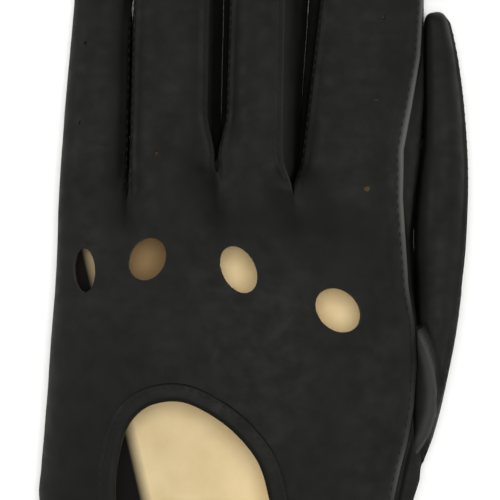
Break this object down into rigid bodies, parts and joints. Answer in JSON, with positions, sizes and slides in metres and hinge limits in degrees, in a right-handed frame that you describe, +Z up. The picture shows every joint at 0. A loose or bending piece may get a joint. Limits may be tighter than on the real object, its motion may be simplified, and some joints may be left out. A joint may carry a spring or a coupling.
{
  "type": "driving glove",
  "caption": "Left-hand leather driving glove with open knuckles, a bound opening on the back and a wrist strap closed by a snap, lying palm down.",
  "frame": {"origin": "middle of the bounding box in plan, on the surface the palm lies on", "axes": "+Z up out of the back of the hand, +Y toward the fingertips, +X toward the thumb"},
  "size_m": [0.1064, 0.212, 0.0315],
  "materials": {
    "nappa_leather": "smooth black nappa, semi-matte with a fine grain",
    "trim_leather": "black edge binding and hem, slightly shinier on the fold",
    "snap_metal": "dark nickel plated snap"
  },
  "bodies": {
    "hand": {"back_panel": "nappa_leather", "palm_panel": "nappa_leather", "opening_binding": "trim_leather", "cuff_hem": "trim_leather", "snap_stud": "snap_metal", "snap_backing_washer": "snap_metal"},
    "strap": {"wrist_strap": "nappa_leather", "snap_socket": "snap_metal", "snap_cap": "snap_metal"},
    "knuckle_block": {"knuckle_back_panel": "nappa_leather", "knuckle_palm_panel": "nappa_leather"},
    "index_proximal": {"index_proximal_back": "nappa_leather", "index_proximal_palm": "nappa_leather", "index_proximal_ulnar_fourchette": "nappa_leather"},
    "index_middle": {"index_middle_back": "nappa_leather", "index_middle_palm": "nappa_leather", "index_middle_ulnar_fourchette": "nappa_leather"},
    "index_tip": {"index_tip_back": "nappa_leather", "index_tip_palm": "nappa_leather", "index_tip_ulnar_fourchette": "nappa_leather"},
    "middle_proximal": {"middle_proximal_back": "nappa_leather", "middle_proximal_palm": "nappa_leather", "middle_proximal_radial_fourchette": "nappa_leather", "middle_proximal_ulnar_fourchette": "nappa_leather"},
    "middle_middle": {"middle_middle_back": "nappa_leather", "middle_middle_palm": "nappa_leather", "middle_middle_radial_fourchette": "nappa_leather", "middle_middle_ulnar_fourchette": "nappa_leather"},
    "middle_tip": {"middle_tip_back": "nappa_leather", "middle_tip_palm": "nappa_leather", "middle_tip_radial_fourchette": "nappa_leather", "middle_tip_ulnar_fourchette": "nappa_leather"},
    "ring_proximal": {"ring_proximal_back": "nappa_leather", "ring_proximal_palm": "nappa_leather", "ring_proximal_radial_fourchette": "nappa_leather", "ring_proximal_ulnar_fourchette": "nappa_leather"},
    "ring_middle": {"ring_middle_back": "nappa_leather", "ring_middle_palm": "nappa_leather", "ring_middle_radial_fourchette": "nappa_leather", "ring_middle_ulnar_fourchette": "nappa_leather"},
    "ring_tip": {"ring_tip_back": "nappa_leather", "ring_tip_palm": "nappa_leather", "ring_tip_radial_fourchette": "nappa_leather", "ring_tip_ulnar_fourchette": "nappa_leather"},
    "pinky_proximal": {"pinky_proximal_back": "nappa_leather", "pinky_proximal_palm": "nappa_leather", "pinky_proximal_radial_fourchette": "nappa_leather"},
    "pinky_middle": {"pinky_middle_back": "nappa_leather", "pinky_middle_palm": "nappa_leather", "pinky_middle_radial_fourchette": "nappa_leather"},
    "pinky_tip": {"pinky_tip_back": "nappa_leather", "pinky_tip_palm": "nappa_leather", "pinky_tip_radial_fourchette": "nappa_leather"},
    "thumb_root": {"thumb_root_back": "nappa_leather", "thumb_root_palm": "nappa_leather"},
    "thumb_proximal": {"thumb_proximal_back": "nappa_leather", "thumb_proximal_palm": "nappa_leather"},
    "thumb_tip": {"thumb_tip_back": "nappa_leather", "thumb_tip_palm": "nappa_leather"}
  },
  "joints": [
    {"name": "knuckle_fold", "type": "hinge", "parent": "hand", "child": "knuckle_block", "pos_m": [-0.00096, -0.0077, 0.011], "axis": [-0.9874, 0.158, 0], "range_deg": [0, 40]},
    {"name": "index_base_bend", "type": "hinge", "parent": "knuckle_block", "child": "index_proximal", "pos_m": [0.02374, 0.025, 0.01124], "axis": [-1, 0, 0], "range_deg": [-5, 30]},
    {"name": "index_middle_bend", "type": "hinge", "parent": "index_proximal", "child": "index_middle", "pos_m": [0.02514, 0.04, 0.0103], "axis": [-1, 0, 0], "range_deg": [0, 60]},
    {"name": "index_tip_bend", "type": "hinge", "parent": "index_middle", "child": "index_tip", "pos_m": [0.02755, 0.066, 0.00866], "axis": [-1, 0, 0], "range_deg": [0, 36]},
    {"name": "middle_base_bend", "type": "hinge", "parent": "knuckle_block", "child": "middle_proximal", "pos_m": [0.00064, 0.0285, 0.01213], "axis": [-1, 0, 0], "range_deg": [-5, 30]},
    {"name": "middle_middle_bend", "type": "hinge", "parent": "middle_proximal", "child": "middle_middle", "pos_m": [0.00101, 0.049, 0.0107], "axis": [-1, 0, 0], "range_deg": [0, 60]},
    {"name": "middle_tip_bend", "type": "hinge", "parent": "middle_middle", "child": "middle_tip", "pos_m": [0.00152, 0.077, 0.00874], "axis": [-1, 0, 0], "range_deg": [0, 36]},
    {"name": "ring_base_bend", "type": "hinge", "parent": "knuckle_block", "child": "ring_proximal", "pos_m": [-0.02166, 0.0285, 0.01161], "axis": [-1, 0, 0], "range_deg": [-5, 30]},
    {"name": "ring_middle_bend", "type": "hinge", "parent": "ring_proximal", "child": "ring_middle", "pos_m": [-0.021, 0.048, 0.01023], "axis": [-1, 0, 0], "range_deg": [0, 60]},
    {"name": "ring_tip_bend", "type": "hinge", "parent": "ring_middle", "child": "ring_tip", "pos_m": [-0.02013, 0.074, 0.00839], "axis": [-1, 0, 0], "range_deg": [0, 36]},
    {"name": "pinky_base_bend", "type": "hinge", "parent": "knuckle_block", "child": "pinky_proximal", "pos_m": [-0.04146, 0.0245, 0.0104], "axis": [-1, 0, 0], "range_deg": [-5, 30]},
    {"name": "pinky_middle_bend", "type": "hinge", "parent": "pinky_proximal", "child": "pinky_middle", "pos_m": [-0.04072, 0.038, 0.00938], "axis": [-1, 0, 0], "range_deg": [0, 60]},
    {"name": "pinky_tip_bend", "type": "hinge", "parent": "pinky_middle", "child": "pinky_tip", "pos_m": [-0.03963, 0.058, 0.00786], "axis": [-1, 0, 0], "range_deg": [0, 36]},
    {"name": "thumb_spread", "type": "hinge", "parent": "hand", "child": "thumb_root", "pos_m": [0.04004, -0.0382, 0.011], "axis": [0, 0, -1], "range_deg": [0, 35]},
    {"name": "thumb_middle_bend", "type": "hinge", "parent": "thumb_root", "child": "thumb_proximal", "pos_m": [0.04654, 0.004, 0.00991], "axis": [-1, 0, 0], "range_deg": [0, 35]},
    {"name": "thumb_tip_bend", "type": "hinge", "parent": "thumb_proximal", "child": "thumb_tip", "pos_m": [0.04751, 0.038, 0.00875], "axis": [-1, 0, 0], "range_deg": [0, 50]},
    {"name": "strap_open", "type": "hinge", "parent": "hand", "child": "strap", "pos_m": [-0.03896, -0.0915, 0.0191], "axis": [0, -1, 0], "range_deg": [0, 110]}
  ],
  "couplings": [
    {"joint": "index_tip_bend", "follows": "index_middle_bend", "ratio": 0.6},
    {"joint": "middle_tip_bend", "follows": "middle_middle_bend", "ratio": 0.6},
    {"joint": "ring_tip_bend", "follows": "ring_middle_bend", "ratio": 0.6},
    {"joint": "pinky_tip_bend", "follows": "pinky_middle_bend", "ratio": 0.6}
  ]
}
